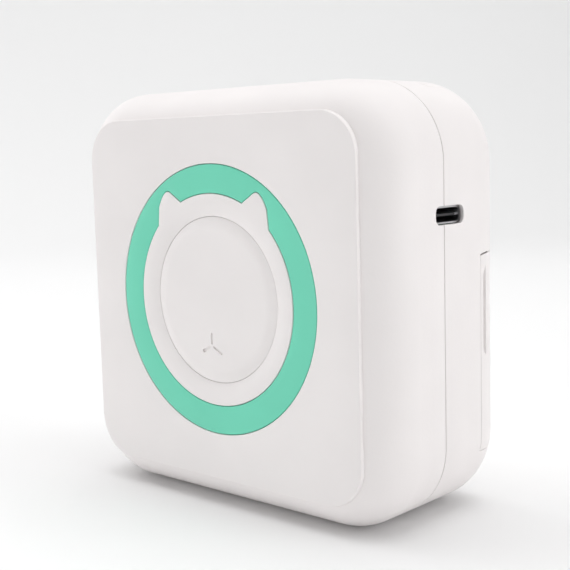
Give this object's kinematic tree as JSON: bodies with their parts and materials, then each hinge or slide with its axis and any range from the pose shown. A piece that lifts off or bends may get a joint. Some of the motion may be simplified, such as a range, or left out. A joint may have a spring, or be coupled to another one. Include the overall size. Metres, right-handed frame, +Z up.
{
  "type": "thermal label printer",
  "caption": "Small upright square thermal label printer with a round power key in a mint cat-ear ring and a paper door hinged at the back.",
  "frame": {"origin": "middle of the footprint, on the surface the printer stands on", "axes": "+X to the right seen from the front, +Y to the back, +Z up"},
  "size_m": [0.084, 0.0388, 0.0824],
  "materials": {
    "case_plastic": "finely textured warm white",
    "key_plastic": "fine satin warm white",
    "mint_plastic": "satin mint green",
    "dark_plastic": "black moulded",
    "grey_plastic": "grey moulded",
    "gear_plastic": "natural acetal",
    "steel": "bright zinc plated",
    "aluminium": "satin",
    "brass": "machined",
    "circuit_board": "green solder mask",
    "flex": "amber film",
    "rubber": "ground matt",
    "ceramic": "glazed",
    "cell_pouch": "laminated foil",
    "red_wire": "wire insulation",
    "black_wire": "wire insulation",
    "paper": "thermal paper",
    "card": "wound kraft",
    "lamp": "clear cast"
  },
  "bodies": {
    "case": {"front_shell": "case_plastic", "rear_shell": "case_plastic", "ring_insert": "mint_plastic", "switch_body": "dark_plastic", "microcontroller_chip": "dark_plastic", "motor_driver_chip": "dark_plastic", "usb_port_tongue": "dark_plastic", "paper_sensor": "dark_plastic", "paper_bucket": "grey_plastic", "paper_guide": "grey_plastic", "mechanism_chassis": "grey_plastic", "battery_connector": "gear_plastic", "head_flex_connector": "gear_plastic", "case_screw_1": "steel", "case_screw_2": "steel", "case_screw_3": "steel", "case_screw_4": "steel", "mechanism_screw_1": "steel", "mechanism_screw_2": "steel", "mechanism_screw_3": "steel", "mechanism_screw_4": "steel", "radio_module": "steel", "usb_port_shell": "steel", "tear_bar": "steel", "gearbox_plate": "steel", "stepper_motor": "steel", "idler_gear_pin": "steel", "compound_gear_pin": "steel", "head_pivot_pin": "steel", "head_spring_left": "steel", "head_spring_right": "steel", "main_board": "circuit_board", "usb_board": "circuit_board", "usb_flex_cable": "flex", "head_flex_cable": "flex", "motor_flex_cable": "flex", "battery": "cell_pouch", "battery_lead_positive": "red_wire", "battery_lead_negative": "black_wire", "status_led": "lamp"},
    "door": {"paper_door": "case_plastic", "hinge_pin_left": "steel", "hinge_pin_right": "steel", "platen_bushing_left": "gear_plastic", "platen_bushing_right": "gear_plastic"},
    "platen": {"platen_rubber": "rubber", "platen_shaft": "steel", "platen_gear": "gear_plastic"},
    "power_key": {"power_key": "key_plastic", "switch_plunger": "dark_plastic"},
    "thermal_head": {"head_plate": "aluminium", "thermal_strip": "ceramic"},
    "compound_gear": {"compound_gear": "gear_plastic"},
    "idler_gear": {"idler_gear": "gear_plastic"},
    "motor_pinion": {"motor_pinion": "brass"},
    "paper_roll": {"paper_roll": "paper", "roll_core": "card"}
  },
  "joints": [
    {"name": "door_hinge", "type": "hinge", "parent": "case", "child": "door", "pos_m": [0, 0.017, 0.0076], "axis": [-1, 0, 0], "range_deg": [0, 90]},
    {"name": "platen_spin", "type": "hinge", "parent": "door", "child": "platen", "pos_m": [0, 0.0088, 0.0728], "axis": [1, 0, 0], "continuous": true},
    {"name": "compound_gear_spin", "type": "hinge", "parent": "case", "child": "compound_gear", "pos_m": [0, -0.00013, 0.07168], "axis": [1, 0, 0], "continuous": true},
    {"name": "idler_gear_spin", "type": "hinge", "parent": "case", "child": "idler_gear", "pos_m": [0, -0.00071, 0.06069], "axis": [1, 0, 0], "continuous": true},
    {"name": "motor_spin", "type": "hinge", "parent": "case", "child": "motor_pinion", "pos_m": [0, -0.00107, 0.0537], "axis": [1, 0, 0], "continuous": true},
    {"name": "power_key_press", "type": "slide", "parent": "case", "child": "power_key", "axis": [0, 1, 0], "range_m": [0, 0.0005], "stiffness_N_per_m": 600, "springref_m": -0.0015},
    {"name": "head_tilt", "type": "hinge", "parent": "case", "child": "thermal_head", "pos_m": [0, 0.0022, 0.0648], "axis": [1, 0, 0], "range_deg": [0, 3], "stiffness_Nm_per_rad": 0.6, "springref_deg": -3.44, "deforming": ["head_spring_left", "head_spring_right"]},
    {"name": "paper_roll_spin", "type": "hinge", "parent": "case", "child": "paper_roll", "pos_m": [0, 0.0042, 0.0172], "axis": [1, 0, 0], "continuous": true}
  ],
  "couplings": [
    {"joint": "compound_gear_spin", "follows": "platen_spin", "ratio": -2},
    {"joint": "idler_gear_spin", "follows": "platen_spin", "ratio": 3.5},
    {"joint": "motor_spin", "follows": "platen_spin", "ratio": -4.6667}
  ]
}
